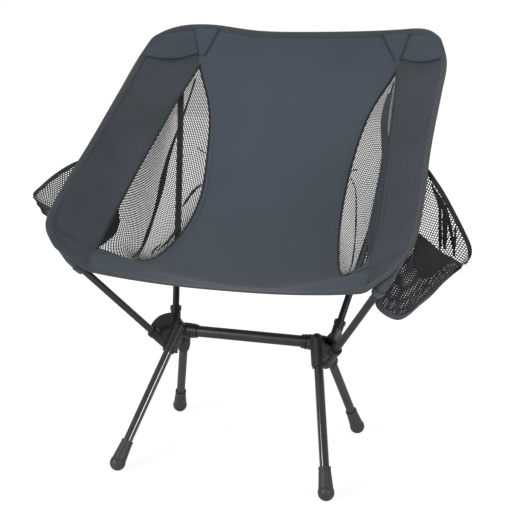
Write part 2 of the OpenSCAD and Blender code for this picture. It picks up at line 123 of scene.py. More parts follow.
def centre(u, v):
    """The seat and back panel: u from the middle line to its side seam."""
    c = spline(CENTRE_LINE, v)
    e = centre_edge(v)
    s = np.abs(u) ** 2.4
    p = mix(c, e, s)
    p[..., 0] = u * e[..., 0]
    return p


def strip_inner(v):
    """The seam on the inner side of the side strip, from the front edge to the top edge."""
    v = np.asarray(v, float)
    front = centre_edge(v * 7 / 8)
    middle = spline(LEAF_OUTER, (v * 7 - 1) / 5)
    rear = centre_edge(7 / 8 + (v * 7 - 6) / 8)
    return np.where((v < 1 / 7)[..., None], front, np.where((v > 6 / 7)[..., None], rear, middle))


def strip(u, v):
    """The side strip, u from the seam to the outer edge of the sling."""
    across = arch(u)
    crown = 3.0 * across * arch(v)
    ear = 6.0 * across * smooth_step(v, 0.9, 1.0)
    p = mix(strip_inner(v), spline(OUTER_EDGE, v), u) + crown[..., None] * np.array([0.5, 0.6, -0.6])
    return p + ear[..., None] * np.array([0.45, 0.3, 0.84])


VALLEY_U = 0.55


def leaf_halves(u, inner, valley, outer):
    """A point between the inner edge and the valley, or between the valley and the outer edge."""
    first = mix(inner, valley, np.clip(u / VALLEY_U, 0, 1))
    second = mix(valley, outer, np.clip((u - VALLEY_U) / (1 - VALLEY_U), 0, 1))
    return np.where((u < VALLEY_U)[..., None], first, second)


def leaf(u, v):
    """The leaf-shaped mesh, with a valley seam between its two halves; u runs from inner to outer."""
    u, v = both(u, v)
    p = leaf_halves(u, centre_edge(2 / 8 + 5 / 8 * v), spline(LEAF_VALLEY, v), spline(LEAF_OUTER, v))
    hang = np.sin(np.pi * np.clip(v, 0, 1) ** 0.8)
    sag = 15 * arch(u / VALLEY_U) * hang * (1 - smooth_step(v, 0.45, 0.8))
    p = p + sag[..., None] * np.array([0, -0.4, -0.9])
    p = p + (6 * arch((u - VALLEY_U) / (1 - VALLEY_U)) * hang)[..., None] * np.array([0.5, 0.5, -0.6])
    # The lower edge follows the seam of the centre panel, not a straight line.
    along = np.interp(u, [0, VALLEY_U, 1], [0, 0.32, 1])
    low = centre_edge(2 / 8 - along / 8)
    straight = leaf_halves(u, CENTRE_EDGE[2], LEAF_VALLEY[0], LEAF_OUTER[0])
    fade = (1 - smooth_step(v, 0, 0.25))[..., None]
    return p + (low - straight) * fade


def surface_normal(surface, u, v, h=0.004):
    """Unit normal that points to the sitter's side."""
    along_u = surface(np.minimum(u + h, 1), v) - surface(np.maximum(u - h, 0), v)
    along_v = surface(u, np.minimum(v + h, 1)) - surface(u, np.maximum(v - h, 0))
    return unit(np.cross(along_u, along_v))


def raised(surface, height):
    """The surface lifted along its normal by height(u, v)."""
    def lifted(u, v):
        u, v = both(u, v)
        return surface(u, v) + surface_normal(surface, u, v) * height(u, v)[..., None]
    return lifted


def waves(seed, count, reach_u, reach_v):
    """A smooth random function of u and v, from a few sine waves, about -1 to 1."""
    rng = np.random.default_rng(seed)
    terms = [
        (rng.uniform(-reach_u, reach_u), rng.uniform(-reach_v, reach_v), rng.uniform(0, 2 * np.pi))
        for _ in range(count)
    ]

    def value(u, v):
        total = sum(np.sin(a * u + b * v + c) for a, b, c in terms)
        return total / math.sqrt(count)
    return value


# ---- meshes ----
class Build:
    """Points, faces and cloth coordinates of one piece, for the right-hand side."""

    def __init__(self):
        self.points, self.faces, self.cloth = [], [], []
        self.count = 0

    def add(self, points, faces, cloth=None):
        points = np.asarray(points, float).reshape(-1, 3)
        if cloth is None:
            cloth = points[:, :2]
        self.points.append(points)
        self.cloth.append(np.asarray(cloth, float).reshape(-1, 2))
        self.faces.extend(tuple(i + self.count for i in f) for f in faces)
        self.count += len(points)


# The fabric isn't quite the same on both sides: how far each ear stands above the drawn shape.
EAR = np.array([165, 288, 650.0])
EAR_LIFT = {-1: 9.5, 1: -0.8}


def hung(points, sign):
    """Points of the right-hand side as they hang on one side of the chair."""
    reach = np.linalg.norm((points - EAR) / np.array([50, 60, 50.0]), axis=1)
    out = points.copy()
    out[:, 2] += EAR_LIFT[sign] * np.exp(-0.5 * reach**2)
    out[:, 0] *= sign
    out[:, 1] += BAR_Y
    return out


def make_object(name, build, material, sign, crease_deg):
    points = hung(np.vstack(build.points), sign)
    faces = build.faces if sign > 0 else [f[::-1] for f in build.faces]
    mesh = bpy.data.meshes.new(name)
    mesh.from_pydata((points * MM).tolist(), [], faces)
    mesh.validate()
    cloth = np.vstack(build.cloth)
    layer = mesh.uv_layers.new(name="cloth")
    corner = np.zeros(len(mesh.loops), np.int32)
    mesh.loops.foreach_get("vertex_index", corner)
    layer.data.foreach_set("uv", (cloth[corner] * MM).astype(np.float32).ravel())
    mesh.polygons.foreach_set("use_smooth", np.ones(len(mesh.polygons), bool))
    mesh.set_sharp_from_angle(angle=math.radians(crease_deg))
    mesh.materials.append(material)
    ob = bpy.data.objects.new(name, mesh)
    bpy.context.scene.collection.objects.link(ob)
    return ob


def thicken(points, normals, faces, thickness, cloth, build):
    """Adds a closed solid around an open sheet of faces."""
    n = len(points)
    top = points + normals * (thickness / 2)
    bottom = points - normals * (thickness / 2)
    edges = {edge for f in faces for edge in zip(f, f[1:] + f[:1])}
    walls = sorted((b, a, a + n, b + n) for a, b in edges if (b, a) not in edges)
    under = [tuple(i + n for i in f[::-1]) for f in faces]
    build.add(np.vstack([top, bottom]), faces + under + walls, np.vstack([cloth, cloth]))


def arc_lengths(points):
    steps = np.linalg.norm(np.diff(points, axis=0), axis=1)
    return np.concatenate([[0], np.cumsum(steps)])


def grid_faces(rows, columns, ring=False):
    """Four-sided faces over a grid of points that is stored row by row; ring closes every row."""
    faces = []
    for j in range(rows - 1):
        here, above = j * columns, (j + 1) * columns
        for i in range(columns if ring else columns - 1):
            beside = (i + 1) % columns
            faces.append((here + i, here + beside, above + beside, above + i))
    return faces


def grid_sheet(surface, us, vs, thickness, build):
    v, u = np.meshgrid(vs, us, indexing="ij")
    p = surface(u, v)
    normal = surface_normal(surface, u, v)
    along = arc_lengths(p[:, len(us) // 2])
    across = np.array([arc_lengths(row) for row in p])
    cloth = np.stack(both(across, along[:, None]), axis=-1).reshape(-1, 2)
    thicken(p.reshape(-1, 3), normal.reshape(-1, 3), grid_faces(*u.shape), thickness, cloth, build)


NET_PITCH = 3.5
NET_ROW_STEP = 3.3
NET_T = 0.5


def net_sheet(surface, v0, v1, build, thread=1.28, middle=0.5):
    """A knitted net of six-sided holes over the surface, at one pitch however wide the surface is.
    v0 and v1 choose the rows, and rows of two neighbouring nets share their edge exactly."""
    pitch, row_step = NET_PITCH, NET_ROW_STEP
    samples = np.linspace(0, 1, 240)
    along = arc_lengths(surface(middle, samples))
    rows = surface(np.linspace(0, 1, 24)[None, :], samples[:, None])
    width = np.linalg.norm(np.diff(rows, axis=1), axis=2).sum(axis=1)
    hole = (pitch - thread) / pitch
    half, near, far = pitch / 2, row_step / 3, row_step * 2 / 3
    tile = [(half, near), (0, far), (-half, near), (-half, -near), (0, -far), (half, -near)]
    corner_of = {}
    flat, faces = [], []

    def corner(x, y):
        key = (round(x * 20), round(y * 20))
        if key not in corner_of:
            corner_of[key] = len(flat)
            flat.append((x, y))
        return corner_of[key]

    s0, s1 = np.interp([v0, v1], samples, along)
    for j in range(int(s0 / row_step), int(s1 / row_step) + 2):
        s = j * row_step
        if not s0 <= s < s1 + (0.5 * row_step if v1 >= 1 else 0):
            continue
        w = np.interp(s, along, width)
        left_side = -middle * w
        first = math.floor(left_side / pitch) - 1
        for i in range(first, first + int(w / pitch) + 4):
            x = (i + (j % 2) / 2) * pitch
            if not left_side - 0.2 * pitch < x < left_side + w + 0.2 * pitch:
                continue
            outer = [corner(x + dx, s + dy) for dx, dy in tile]
            base = len(flat)
            flat.extend((x + hole * dx, s + hole * dy) for dx, dy in tile)
            for k in range(6):
                n = (k + 1) % 6
                faces.append((outer[k], outer[n], base + n, base + k))
    flat = np.array(flat)
    v = np.interp(flat[:, 1], along, samples)
    w = np.maximum(np.interp(v, samples, width), 1e-3)
    u = np.clip(middle + flat[:, 0] / w, 0, 1)
    p = surface(u, v)
    n = surface_normal(surface, u, np.clip(v, 0.004, 0.996))
    thicken(p, n, faces, NET_T, flat, build)


def ribbon(path, normal, width, thickness, build, offset=0.0, lift=0.0):
    """A flat tape with round edges along a path. width is one number or one for each point; offset
    moves the tape sideways and lift along the normal."""
    ahead = np.roll(path, -1, axis=0) - np.roll(path, 1, axis=0)
    ahead[0], ahead[-1] = path[1] - path[0], path[-1] - path[-2]
    ahead = unit(ahead)
    side_way = unit(np.cross(ahead, unit(normal)))
    up = np.cross(side_way, ahead)
    h = thickness / 2
    turn = np.linspace(-np.pi / 2, np.pi / 2, 5)
    edge = np.repeat([1.0, -1.0], len(turn))
    round_x = edge * h * np.cos(np.tile(turn, 2))
    round_y = edge * h * np.sin(np.tile(turn, 2))
    m, n = len(edge), len(path)
    reach = np.broadcast_to(np.asarray(width, float) / 2 - h, n)
    across = reach[:, None] * edge + round_x
    p = (path[:, None] + side_way[:, None] * (across + offset)[..., None]
         + up[:, None] * (round_y + lift)[None, :, None])
    caps = [tuple(range(m - 1, -1, -1)), tuple((n - 1) * m + k for k in range(m))]
    cloth = np.stack(both(across, arc_lengths(path)[:, None]), axis=-1)
    build.add(p, [f[::-1] for f in grid_faces(n, m, ring=True) + caps], cloth)


def resample(path, normal, step):
    """A path and its normals at even steps."""
    along = arc_lengths(path)
    at = np.linspace(0, along[-1], max(2, int(round(along[-1] / step)) + 1))
    return [np.stack([np.interp(at, along, a[:, k]) for k in range(3)], axis=1) for a in (path, normal)]


def stitches(path, normal, build, offset, lift, step=4.2, length=2.8, width=0.75):
    """A row of thread dashes, each a slim eight-sided grain."""
    path, normal = resample(path, normal, step)
    normal = unit(normal)
    ahead = unit(np.gradient(path, axis=0))
    side_way = unit(np.cross(ahead, normal))
    turns = [(1, 2), (2, 3), (3, 4), (4, 1)]
    faces = [(0, b, a) for a, b in turns] + [(5, a, b) for a, b in turns]
    for p, a, s, n in zip(path, ahead, side_way, normal):
        c = p + s * offset + n * lift
        ring = [c + s * width / 2, c + n * width * 0.45, c - s * width / 2, c - n * width * 0.45]
        build.add([c - a * length / 2, *ring, c + a * length / 2], faces)


# ---- materials ----
class Nodes:
    """Short names for building a node material."""

    def __init__(self, name):
        self.material = bpy.data.materials.new(name)
        self.material.use_nodes = True
        self.tree = self.material.node_tree
        self.shader = self.tree.nodes["Principled BSDF"]

    def feed(self, socket, value):
        """Gives a socket a value, or the output of another node."""
        if isinstance(value, bpy.types.NodeSocket):
            self.tree.links.new(value, socket)
        else:
            socket.default_value = value

    def new(self, kind, **values):
        node = self.tree.nodes.new(kind)
        for key, value in values.items():
            if hasattr(node, key):
                setattr(node, key, value)
            else:
                self.feed(node.inputs[key.replace("_", " ")], value)
        return node

    def coordinates(self, which="Object"):
        return self.new("ShaderNodeTexCoord").outputs[which]

    def noise(self, vector, scale, detail):
        node = self.new("ShaderNodeTexNoise", Vector=vector, Scale=scale, Detail=detail, Roughness=0.55)
        return node.outputs["Fac"]

    def math(self, operation, *values):
        node = self.new("ShaderNodeMath", operation=operation)
        for socket, value in zip(node.inputs, values):
            self.feed(socket, value)
        return node.outputs[0]

    def between(self, fac, low, high):
        """Turns fac from 0..1 into low..high."""
        return self.new("ShaderNodeMapRange", Value=fac, To_Min=low, To_Max=high).outputs["Result"]

    def colours(self, fac, first, second, low=0.3, high=0.7):
        ramp = self.new("ShaderNodeValToRGB", Fac=fac)
        for stop, at, colour in zip(ramp.color_ramp.elements, (low, high), (first, second)):
            stop.position = at
            stop.color = (*colour, 1)
        return ramp.outputs["Color"]

    def parts(self, vector):
        """The x and y parts of a vector."""
        node = self.new("ShaderNodeSeparateXYZ", Vector=vector)
        return node.outputs["X"], node.outputs["Y"]

    def weave(self, vector, pitch_mm):
        """Height of a plain weave, 0 to 1, with that pitch."""
        turns = math.pi / (pitch_mm * MM)
        x, y = (self.math("SINE", self.math("MULTIPLY", part, turns)) for part in self.parts(vector))
        return self.math("MULTIPLY_ADD", self.math("MULTIPLY", x, y), 0.5, 0.5)

    def bump(self, height, strength, distance_mm, **below):
        """A bump on top of the Normal in below, if there is one."""
        values = {"Height": height, "Strength": strength, "Distance": distance_mm * MM}
        return self.new("ShaderNodeBump", **values, **below).outputs["Normal"]

    def finish(self, **values):
        for key, value in values.items():
            self.feed(self.shader.inputs[key.replace("_", " ")], value)
        return self.material


def fabric_material(name, dark, light, low=0.3, high=0.7):
    """Tight plain weave with a fine slub, soft mottling and a little sheen."""
    n = Nodes(name)
    cloth = n.coordinates("UV")
    place = n.coordinates()
    mottled = n.noise(place, 9, 4)
    slub = n.noise(cloth, 900, 2)
    tone = n.math("ADD", n.math("MULTIPLY", mottled, 0.7), n.math("MULTIPLY", slub, 0.3))
    bump = n.bump(n.weave(cloth, pitch_mm=0.9), 0.35, 0.25)
    bump = n.bump(n.noise(place, 60, 3), 0.12, 0.8, Normal=bump)
    return n.finish(
        Base_Color=n.colours(tone, dark, light, low, high), Normal=bump,
        Roughness=n.between(mottled, 0.66, 0.84), Sheen_Weight=0.12, Sheen_Roughness=0.5,
        Specular_IOR_Level=0.25,
    )


def webbing_material(name, dark, light, rib_mm):
    """Ribbed tape: ribs across its length, with a fuzzy matt face."""
    n = Nodes(name)
    cloth = n.coordinates("UV")
    _, along = n.parts(cloth)
    ribs = n.math("SINE", n.math("MULTIPLY", along, 2 * math.pi / (rib_mm * MM)))
    ribs = n.between(ribs, 0, 1)
    fuzz = n.noise(cloth, 700, 3)
    tone = n.math("ADD", n.math("MULTIPLY", ribs, 0.35), n.math("MULTIPLY", fuzz, 0.65))
    bump = n.bump(ribs, 0.4, 0.3)
    bump = n.bump(fuzz, 0.15, 0.2, Normal=bump)
    return n.finish(
        Base_Color=n.colours(tone, dark, light), Normal=bump,
        Roughness=n.between(fuzz, 0.7, 0.9), Sheen_Weight=0.2, Specular_IOR_Level=0.3,
    )


def thread_material(name, colour):
    n = Nodes(name)
    fuzz = n.noise(n.coordinates(), 1500, 2)
    return n.finish(
        Base_Color=n.colours(fuzz, tuple(c * 0.8 for c in colour), colour),
        Roughness=n.between(fuzz, 0.5, 0.8),
    )


def tube_material(name, dark, light, roughness, metal, **coat):
    """Anodised tube: fine brushing, faint scuffs and fingerprints in the gloss."""
    n = Nodes(name)
    place = n.coordinates()
    stretched = n.new("ShaderNodeMapping", Vector=place, Scale=(1, 1, 0.06))
    brushed = n.noise(stretched.outputs["Vector"], 1600, 2)
    smudge = n.noise(place, 38, 4)
    tone = n.math("ADD", n.math("MULTIPLY", brushed, 0.5), n.math("MULTIPLY", smudge, 0.5))
    return n.finish(
        Base_Color=n.colours(tone, dark, light),
        Roughness=n.between(tone, roughness * 0.8, roughness * 1.25),
        Normal=n.bump(brushed, 0.06, 0.1), Metallic=metal, Coat_Roughness=0.12, **coat,
    )


def plastic_material(name, dark, light, roughness, grain_mm=0.35, edge_mm=0.9, grain=0.25):
    """Moulded part: fine spark-eroded grain, soft edges and slightly paler rubbed places."""
    n = Nodes(name)
    place = n.coordinates()
    fine = n.noise(place, 1 / (grain_mm * MM) * 0.5, 2)
    broad = n.noise(place, 30, 3)
    soft = n.new("ShaderNodeBevel", samples=4, Radius=edge_mm * MM)
    return n.finish(
        Base_Color=n.colours(broad, dark, light),
        Roughness=n.between(fine, roughness - 0.06, roughness + 0.08),
        Normal=n.bump(fine, grain, 0.12, Normal=soft.outputs["Normal"]), Specular_IOR_Level=0.45,
    )


FABRIC = fabric_material("sling_fabric", (0.052, 0.063, 0.082), (0.062, 0.074, 0.094))
FABRIC_BACK = fabric_material("sling_fabric_pocket", (0.044, 0.052, 0.064), (0.056, 0.066, 0.080))
BINDING = webbing_material("binding_tape", (0.040, 0.047, 0.053), (0.062, 0.071, 0.080), 1.3)
POCKET_TAPE = webbing_material("pocket_tape", (0.012, 0.013, 0.015), (0.026, 0.028, 0.031), 1.4)
POCKET_EDGE = webbing_material("pocket_edge", (0.036, 0.040, 0.050), (0.058, 0.064, 0.078), 1.4)
# Painted shade: a darker copy of the sling cloth, for the grooves of the rear seams.
SEAM_SHADE = fabric_material("seam_shade", (0.028, 0.034, 0.040), (0.040, 0.047, 0.056))
FABRIC_SIDE = fabric_material(
    "sling_fabric_side", (0.032, 0.043, 0.047), (0.050, 0.059, 0.078), low=0.36, high=0.62,
)
BLACK_TAPE = webbing_material("black_tape", (0.010, 0.011, 0.012), (0.020, 0.021, 0.023), 1.4)
BOOT_WEB = webbing_material("boot_webbing", (0.040, 0.045, 0.050), (0.060, 0.066, 0.072), 2.2)
NET = thread_material("net_thread", (0.010, 0.011, 0.013))
THREAD = thread_material("stitch_thread", (0.080, 0.088, 0.098))
BLACK_THREAD = thread_material("black_thread", (0.030, 0.031, 0.034))


# ---- planes at the sling's corners ----
# add_piece() places these two planes on each side, and uses them for nothing more.
# Each end: a point of the first plane, the way to the second plane, and how far away that is.
BEND = {
    "front": (np.array([100, -60, 300.0]), unit([0.6, -0.8, -0.057]), 105.0),
    "rear": (np.array([130, 200, 530.0]), unit([0.6, 0.6, 0.2]), 112.0),
}


def in_metres(p, sign):
    """A point of the right-hand side as it is on one side of the frame, in metres."""
    return Vector((p[0] * sign * MM, (p[1] + BAR_Y) * MM, p[2] * MM))


def add_piece(kind, build, material, side, end, slot, *nodes, crease_deg=45):
    """Makes a piece of the sling, named KIND_SIDE, and hides the CAD nodes that it replaces."""
    sign = SIDES[side]
    ob = make_object(f"{kind}_{side}", build, material, sign, crease_deg)
    start, direction, length = BEND[end]
    low, high = in_metres(start, sign), in_metres(start + direction * length, sign)
    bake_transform(ob)
    if nodes:
        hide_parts(*nodes)


# ---- sling panels ----
FABRIC_T = 0.9


def span(end, split, low=0, high=1):
    """Where the front or rear half of something starts and ends."""
    return (low, split) if end == "front" else (split, high)


def steps(low, high, length):
    """Values from low to high, about one for each 5 mm, where 0..1 is that length."""
    return np.linspace(low, high, max(2, int(round((high - low) * length / 5)) + 1))


def centre_relief(seed):
    """Soft unevenness of the centre panel, and the puckers along its side seam."""
    broad = waves(seed, 7, 9, 16)
    fine = waves(seed + 1, 9, 30, 60)

    def height(u, v):
        inside = arch(u, 0.5) * smooth_step(v, 0.0, 0.06) * (1 - smooth_step(v, 0.94, 1))
        calm = 0.35 + 0.65 * smooth_step(np.abs(v - CENTRE_SPLIT), 0.0, 0.12)
        seam = np.exp(-((1 - u) / 0.07) ** 2) * np.sin(v * 190 + 2 * np.sin(v * 23)) * (u < 0.995)
        return (0.8 * broad(u, v) + 0.25 * fine(u, v)) * inside * calm + 0.50 * seam * inside
    return height


def strip_relief(seed):
    """Soft unevenness and creases of the side strip, and the puckers along its seam."""
    broad = waves(seed, 6, 5, 26)
    fine = waves(seed + 2, 8, 14, 60)

    def height(u, v):
        inside = arch(u) * arch(v, 0.5)
        pucker = np.exp(-(u / 0.12) ** 2) * np.sin(v * 170) * smooth_step(u, 0, 0.03)
        creases = fine(u, v) * inside * (0.4 + 0.6 * smooth_step(np.abs(v - STRIP_SPLIT), 0.05, 0.3))
        return 1.5 * broad(u, v) * inside + 0.5 * creases + 0.30 * pucker
    return height


def sling_surfaces(side):
    seed = 11 if side == "left" else 47
    return raised(centre, centre_relief(seed)), raised(strip, strip_relief(seed + 5))


def centre_panel(side, end):
    build = Build()
    surface, _ = sling_surfaces(side)
    v0, v1 = span(end, CENTRE_SPLIT, 0.013, 0.987)
    grid_sheet(surface, np.linspace(0, 1, 45), steps(v0, v1, 620), FABRIC_T, build)
    add_piece(f"seat_fabric_{end}", build, FABRIC, side, end, "sling_fabric", "seat_panel")


def side_strip(side, end):
    build = Build()
    _, surface = sling_surfaces(side)
    v0, v1 = span(end, STRIP_SPLIT, 0.022, 0.978)
    grid_sheet(surface, np.linspace(0, 0.95, 17), steps(v0, v1, 560), FABRIC_T, build)
    node = f"side_panel_{side}"
    add_piece(f"side_fabric_{end}", build, FABRIC_SIDE, side, end, "sling_fabric", node)


def mesh_leaf(side, end):
    build = Build()
    v0, v1 = span(end, LEAF_SPLIT)
    net_sheet(leaf, v0, v1, build, middle=VALLEY_U)
    add_piece(f"mesh_{end}", build, NET, side, end, "mesh", f"mesh_panel_{side}")


def on_surface(surface, us, vs, step=4.0):
    """A path over a surface, evenly spaced, with its normals."""
    us, vs = both(us, vs)
    return resample(surface(us, vs), surface_normal(surface, us, vs), step)


def smooth_path(surface, spots):
    """A smooth path over a surface through (u, v) spots, with its normals."""
    at = np.linspace(0, 1, 12 * len(spots))
    u, v = (spline([(x, 0, 0) for x in axis], at)[:, 0] for axis in zip(*spots))
    return on_surface(surface, np.clip(u, 0, 1), np.clip(v, 0, 1), 2.0)


def pinched(count, width, seed):
    """Widths of a fold that is widest in its middle, and a little uneven."""
    t = np.linspace(0, 1, count)
    uneven = waves(seed, 4, 0, 30)(0, t)
    return width * (0.35 + 0.65 * np.sin(np.pi * t) ** 0.6) * (1 + 0.12 * uneven)


# The dart in the inner half of each leaf and the folds that the net makes beside it, as (u, v) spots
# and the width of the fold at its widest.
NET_FOLDS = {
    "left": [
        ([(0.025, 0.475), (0.13, 0.468), (0.235, 0.415)], 4.6),
        ([(0.195, 0.35), (0.195, 0.30), (0.225, 0.25), (0.31, 0.19)], 4.8),
        ([(0.31, 0.24), (0.36, 0.20), (0.34, 0.15)], 3.4),
        ([(0.18, 0.640), (0.10, 0.618), (0.03, 0.60)], 2.0),
    ],
    "right": [
        ([(0.03, 0.535), (0.155, 0.508), (0.22, 0.443), (0.27, 0.343), (0.29, 0.215), (0.30, 0.10)], 2.6),
        ([(0.015, 0.547), (0.075, 0.565), (0.135, 0.573)], 2.6),
    ],
}


def leaf_sides(end):
    """Paths along the inner, the outer and the lower side of the leaf's opening."""
    vs = np.linspace(*span(end, LEAF_SPLIT), 60)
    inner = on_surface(lambda u, v: centre(u, 2 / 8 + 5 / 8 * v), 1, vs)
    outer = on_surface(lambda u, v: strip(u, 1 / 7 + 5 / 7 * v), 0, vs)
    bottom = on_surface(centre, 1, np.linspace(1 / 8, 2 / 8, 40))
    return inner, outer, bottom


def valley_width(v):
    """The tape along the valley is gathered wider in two places, and a little uneven."""
    width = 3.4 + 6.0 * np.exp(-((v - 0.50) / 0.12) ** 2) + 2.6 * np.exp(-((v - 0.24) / 0.14) ** 2)
    return width * (1 + 0.13 * waves(21, 5, 0, 60)(0, v))


def mesh_seams(side, end):
    """The dark tapes round the leaf and along its valley, and the folds of the net."""
    build = Build()
    inner, outer, bottom = leaf_sides(end)
    edge_w, edge_t = 4.2, 1.5
    ribbon(*inner, edge_w, edge_t, build, offset=1.6, lift=-0.2)
    ribbon(*outer, edge_w, edge_t, build, offset=-1.6, lift=-0.2)
    if end == "front":
        ribbon(*bottom, edge_w, edge_t, build, offset=1.6, lift=-0.2)
        for k, (spots, width) in enumerate(NET_FOLDS[side]):
            path, normal = smooth_path(leaf, spots)
            ribbon(path, normal, pinched(len(path), width, k), 0.9, build, lift=0.3)
    v0, v1 = span(end, LEAF_SPLIT, 0.02, 0.93)
    path, normal = on_surface(leaf, VALLEY_U, np.linspace(v0, v1, 90))
    width = valley_width(np.linspace(v0, v1, len(path)))
    ribbon(path, normal, width, 1.0, build, lift=0.35)
    add_piece(f"mesh_seams_{end}", build, BLACK_TAPE, side, end, "binding_tape")


CLOTH_T = 0.8


def leaf_part(low_of, high_of, gap):
    """The leaf between the lines low_of(v) and high_of(v), moved by gap towards the sitter."""
    def surface(u, v):
        u, v = both(u, v)
        low, high = low_of(v), high_of(v)
        across = low + (high - low) * u
        return leaf(across, v) + gap * surface_normal(leaf, across, v)
    return surface


def outer_edge(v):
    return 1 + 0 * v


def leaf_flap():
    """The doubled cloth behind the lower outer corner of the left leaf."""
    known_v = [0.006, 0.037, 0.10, 0.147, 0.182, 0.206]
    inner_u = [0.985, 0.90, 0.855, 0.862, 0.885, 0.955]
    build = Build()
    flap = leaf_part(lambda v: np.interp(v, known_v, inner_u), outer_edge, -1.6)
    grid_sheet(flap, np.linspace(0, 1, 9), np.linspace(known_v[0], known_v[-1], 40), CLOTH_T, build)
    add_piece("leaf_flap", build, FABRIC, "left", "front", "sling_fabric")


# Openings in the cloth over the right leaf: where each one comes to a point, where it is cut off, the
# middle across the leaf, and half of the width.
BACKING_SLOTS = [
    {"point": 0.295, "end": 0.08, "middle": 0.492, "half": 0.026},
    {"point": 0.335, "end": 0.17, "middle": 0.572, "half": 0.024},
    {"point": 0.62, "end": 0.88, "middle": 0.81, "half": 0.16},
]
BACKING_TOP = 0.88


def slot_edge(slot, way):
    """The edge of an opening on one side of its middle line."""
    def edge(v):
        share = np.clip(np.abs(v - slot["point"]) / 0.1, 0, 1)
        return slot["middle"] + way * slot["half"] * (0.2 + 0.8 * share)
    return edge


def leaf_backing():
    """The cloth over the outer half of the right leaf, with narrow openings that show the net."""
    known_v = [0.0, 0.15, 0.32, 0.48, 0.585, 0.64, 0.70, 0.76, 0.82, 1.0]
    inner_u = [0.40, 0.38, 0.44, 0.47, 0.50, 0.51, 0.48, 0.43, 0.41, 0.41]

    def inner_edge(v):
        return np.interp(v, known_v, inner_u)

    for end in ENDS:
        build = Build()
        low, high = span(end, LEAF_SPLIT, 0.004, BACKING_TOP)
        marks = [v for slot in BACKING_SLOTS for v in (slot["point"], slot["end"]) if low < v < high]
        marks = sorted([low, high] + marks)
        for v0, v1 in zip(marks, marks[1:]):
            middle = (v0 + v1) / 2
            cut = [slot for slot in BACKING_SLOTS if (slot["point"] - middle) * (slot["end"] - middle) < 0]
            lows = [inner_edge] + [slot_edge(slot, 1) for slot in cut]
            highs = [slot_edge(slot, -1) for slot in cut] + [outer_edge]
            vs = steps(v0, v1, 500)
            for low_of, high_of in zip(lows, highs):
                grid_sheet(leaf_part(low_of, high_of, 0.9), np.linspace(0, 1, 7), vs, CLOTH_T, build)
        add_piece(f"leaf_backing_{end}", build, FABRIC_SIDE, "right", end, "sling_fabric")


# ---- binding, outline and stitches ----
BIND_W = 11.0
BIND_T = 2.8


def outline():
    """The sling's edge on the right-hand side from the middle of the front to the middle of the top,
    with rounded corners. Returns points, normals and the index where the front half ends."""
    out = np.linspace(0, 1, 60)
    back = out[::-1]
    runs = [
        (centre, out, 0), (strip, out, 0),
        (strip, 1, np.linspace(0, STRIP_SPLIT, 60)), (strip, 1, np.linspace(STRIP_SPLIT, 1, 60)),
        (strip, back, 1), (centre, back, 1),
    ]
    points = [surface(u, v) for surface, u, v in runs]
    normals = [surface_normal(surface, u, v) for surface, u, v in runs]
    split_at = sum(arc_lengths(p)[-1] for p in points[:3])
    path, normal = np.vstack(points), np.vstack(normals)
    keep = np.diff(arc_lengths(path), prepend=-1) > 0.01
    path, normal = path[keep], normal[keep]
    length = arc_lengths(path)[-1]
    path, normal = resample(path, normal, 3.0)
    step = length / (len(path) - 1)
    reach = int(24 / step)
    kernel = np.exp(-0.5 * (np.arange(-reach, reach + 1) * step / 6.0) ** 2)
    kernel /= kernel.sum()
    flip = np.array([-1, 1, 1])

    def smoothed(a):
        padded = np.vstack([a[1:reach + 1][::-1] * flip, a, a[-reach - 1:-1][::-1] * flip])
        return np.stack([np.convolve(padded[:, k], kernel, mode="valid") for k in range(3)], axis=1)

    path, normal = smoothed(path), unit(smoothed(normal))
    return path, normal, int(round(split_at / step))


EDGE, EDGE_NORMAL, EDGE_SPLIT = outline()


def binding(side, end):
    """Folded tape over the sling's edge, and the row of thread that holds it."""
    part = slice(EDGE_SPLIT + 1) if end == "front" else slice(EDGE_SPLIT, None)
    path, normal = EDGE[part], EDGE_NORMAL[part]
    build, thread = Build(), Build()
    ribbon(path, normal, BIND_W, BIND_T, build, offset=-BIND_W / 2)
    node = "edge_binding"
    add_piece(f"binding_{end}", build, BINDING, side, end, "binding_tape", node, crease_deg=60)
    for face in (1, -1):
        stitches(path, normal, thread, offset=-BIND_W + 1.8, lift=face * (BIND_T / 2 + 0.05))
    add_piece(f"binding_stitches_{end}", thread, THREAD, side, end, "binding_tape")


def seam_line(surface, us, vs, build, thread, seam_w, lift):
    """A soft strip along a seam in the given cloth, with a row of stitches on each side; where that cloth
    is SEAM_SHADE its darkness is painted shade of the groove.
    """
    path, normal = on_surface(surface, us, vs, 3.0)
    ribbon(path, normal, seam_w, 0.8, build, lift=lift)
    for shift in (-seam_w / 2 - 1.2, seam_w / 2 + 1.2):
        stitches(path, normal, thread, offset=shift, lift=lift + 0.55, step=3.6, length=2.4, width=0.6)


def ear_seam_v(u):
    """How far up the side strip the lower seam of the ear runs."""
    return 6 / 7 + (0.24 - 0.13 * np.sin(np.pi * np.asarray(u, float))) / 7


def ear_patches(side):
    """The doubled cloth over the ear: one patch beside the leaf's tip, one between the two seams."""
    def outer_patch(u, v):
        u, v = both(u, v)
        low = ear_seam_v(u)
        at = low + (0.978 - low) * v
        puff = 1.0 + 1.5 * (arch(u) * arch(v)) ** 0.5 + 0.5 * waves(8, 5, 9, 9)(u, v)
        return strip(u, at) + surface_normal(strip, u, at) * puff[..., None]

    def inner_patch(u, v):
        u, v = both(u, v)
        low = 0.95 - 0.2 * v**0.9
        along = low + (0.985 - low) * u
        at = 7 / 8 + (0.02 + 0.09 * v)
        puff = 1.0 + 1.3 * (arch(u) * arch(v)) ** 0.5
        return centre(along, at) + surface_normal(centre, along, at) * puff[..., None]

    build = Build()
    grid_sheet(outer_patch, np.linspace(0.01, 0.95, 22), np.linspace(0, 1, 22), FABRIC_T, build)
    grid_sheet(inner_patch, np.linspace(0.02, 1.0, 16), np.linspace(0, 1, 20), FABRIC_T, build)
    add_piece("ear_patch", build, FABRIC, side, "rear", "sling_fabric")


